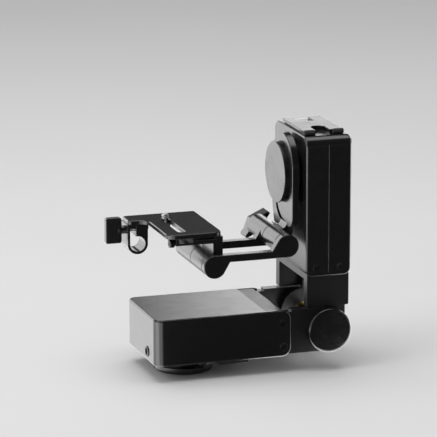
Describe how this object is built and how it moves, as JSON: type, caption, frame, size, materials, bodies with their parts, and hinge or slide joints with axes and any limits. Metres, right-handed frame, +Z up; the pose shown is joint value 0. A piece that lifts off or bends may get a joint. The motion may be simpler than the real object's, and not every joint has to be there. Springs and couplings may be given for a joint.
{
  "type": "gimbal stabilizer",
  "caption": "Motorised L-shaped pan and tilt camera head with folding upright, swing arm, sliding camera plate and rod clamp.",
  "frame": {"origin": "centre of the pan disc's bottom face, on the pan axis", "axes": "+Z up along the pan axis, +X from the base towards the upright and along the tilt axis, +Y away from the front"},
  "size_m": [0.2264, 0.1143, 0.2315],
  "materials": {
    "black_shell": "satin black anodised",
    "black_frame": "satin black anodised",
    "black_knob": "fine satin black",
    "black_rubber": "matt",
    "black_plastic": "fine grain",
    "dark_steel": "blackened",
    "bright_steel": "turned",
    "brass": "machined",
    "motor_can": "drawn",
    "circuit_board": "solder mask",
    "gold_contact": "plated"
  },
  "bodies": {
    "mount": {"mount_pad": "black_rubber", "mount_disc": "black_shell", "tripod_bush": "bright_steel", "pan_shaft": "bright_steel", "disc_screws": "dark_steel", "pan_gear": "brass", "pan_retainer": "bright_steel"},
    "base": {"base_cover": "black_shell", "base_frame": "black_frame", "base_cover_screws": "dark_steel", "pan_bearing": "bright_steel", "pan_motor_bracket": "bright_steel", "pan_motor": "motor_can", "base_board": "circuit_board", "power_socket": "black_plastic", "socket_ring": "dark_steel", "port_block": "black_plastic", "fold_pin": "bright_steel", "hinge_cap": "black_knob", "friction_washers": "brass"},
    "pan_pinion": {"pan_pinion": "brass"},
    "fold_knob": {"fold_knob": "black_knob"},
    "upright": {"upright_cover": "black_shell", "upright_frame": "black_frame", "upright_cover_screws": "dark_steel", "fold_bushes": "brass", "tilt_bearing": "bright_steel", "tilt_motor_bracket": "bright_steel", "tilt_motor": "motor_can", "upright_board": "circuit_board", "accessory_rail": "black_shell", "rail_stop_pins": "black_rubber", "battery_plate": "black_plastic", "battery_contacts": "gold_contact"},
    "tilt_pinion": {"tilt_pinion": "brass"},
    "power_button": {"power_button": "black_plastic"},
    "lower_battery_latch": {"lower_battery_latch": "black_plastic"},
    "upper_battery_latch": {"upper_battery_latch": "black_plastic"},
    "tilt": {"tilt_shaft": "bright_steel", "tilt_flange": "black_frame", "tilt_gear": "brass", "tilt_retainer": "bright_steel", "hanger": "black_shell"},
    "tilt_knob": {"tilt_knob": "black_knob"},
    "arm": {"near_arm_bar": "black_shell", "far_arm_bar": "black_shell", "arm_bolts": "bright_steel"},
    "shoulder_lever": {"shoulder_lever": "black_shell"},
    "wrist_lever": {"wrist_lever": "black_shell"},
    "carrier": {"plate_carrier": "black_shell"},
    "plate_lock": {"plate_lock_screw": "dark_steel"},
    "plate": {"camera_plate": "black_shell", "rod_clamp": "black_shell"},
    "camera_screw": {"camera_screw": "bright_steel"},
    "rod_knob": {"rod_knob": "black_knob", "rod_knob_screw": "bright_steel"}
  },
  "joints": [
    {"name": "pan", "type": "hinge", "parent": "mount", "child": "base", "pos_m": [0, 0, 0], "axis": [0, 0, 1], "continuous": true},
    {"name": "pan_pinion_spin", "type": "hinge", "parent": "base", "child": "pan_pinion", "pos_m": [0.036, 0, 0.028], "axis": [0, 0, 1], "continuous": true},
    {"name": "fold_knob_turn", "type": "hinge", "parent": "base", "child": "fold_knob", "pos_m": [0.12975, -0.05, 0.0395], "axis": [0, 1, 0], "range_deg": [0, 180]},
    {"name": "fold", "type": "hinge", "parent": "base", "child": "upright", "pos_m": [0.12975, 0, 0.0395], "axis": [0, 1, 0], "range_deg": [0, 90]},
    {"name": "power_button_press", "type": "slide", "parent": "upright", "child": "power_button", "axis": [0, -1, 0], "range_m": [0, 0.001]},
    {"name": "lower_latch_slide", "type": "slide", "parent": "upright", "child": "lower_battery_latch", "axis": [0, 0, -1], "range_m": [0, 0.0028]},
    {"name": "upper_latch_slide", "type": "slide", "parent": "upright", "child": "upper_battery_latch", "axis": [0, 0, -1], "range_m": [0, 0.0028]},
    {"name": "tilt", "type": "hinge", "parent": "upright", "child": "tilt", "pos_m": [0.1, 0, 0.1855], "axis": [1, 0, 0], "continuous": true},
    {"name": "tilt_pinion_spin", "type": "hinge", "parent": "upright", "child": "tilt_pinion", "pos_m": [0.121, 0, 0.1495], "axis": [1, 0, 0], "continuous": true},
    {"name": "tilt_knob_turn", "type": "hinge", "parent": "tilt", "child": "tilt_knob", "pos_m": [0.093, 0, 0.1855], "axis": [1, 0, 0], "range_deg": [0, 180]},
    {"name": "shoulder", "type": "hinge", "parent": "tilt", "child": "arm", "pos_m": [0.0891, 0, 0.1237], "axis": [0, 1, 0], "range_deg": [-18, 40]},
    {"name": "shoulder_lever_turn", "type": "hinge", "parent": "arm", "child": "shoulder_lever", "pos_m": [0.0891, 0.05, 0.1237], "axis": [0, 1, 0], "range_deg": [-90, 90]},
    {"name": "wrist", "type": "hinge", "parent": "arm", "child": "carrier", "pos_m": [0.0169, 0, 0.1087], "axis": [0, -1, 0], "range_deg": [-30, 35]},
    {"name": "wrist_lever_turn", "type": "hinge", "parent": "arm", "child": "wrist_lever", "pos_m": [0.0169, 0.05, 0.1087], "axis": [0, 1, 0], "range_deg": [-90, 90]},
    {"name": "plate_lock_turn", "type": "hinge", "parent": "carrier", "child": "plate_lock", "pos_m": [-0.022, -0.033, 0.1316], "axis": [1, 0, 0], "range_deg": [-90, 90]},
    {"name": "plate_slide", "type": "slide", "parent": "carrier", "child": "plate", "axis": [0, 1, 0], "range_m": [-0.02, 0.015]},
    {"name": "camera_screw_slide", "type": "slide", "parent": "plate", "child": "camera_screw", "axis": [0, 1, 0], "range_m": [-0.052, 0]},
    {"name": "rod_knob_turn", "type": "hinge", "parent": "plate", "child": "rod_knob", "pos_m": [-0.057, 0.04, 0.13], "axis": [1, 0, 0], "range_deg": [-180, 180]}
  ],
  "couplings": [
    {"joint": "pan_pinion_spin", "follows": "pan", "ratio": 5},
    {"joint": "tilt_pinion_spin", "follows": "tilt", "ratio": -5}
  ]
}
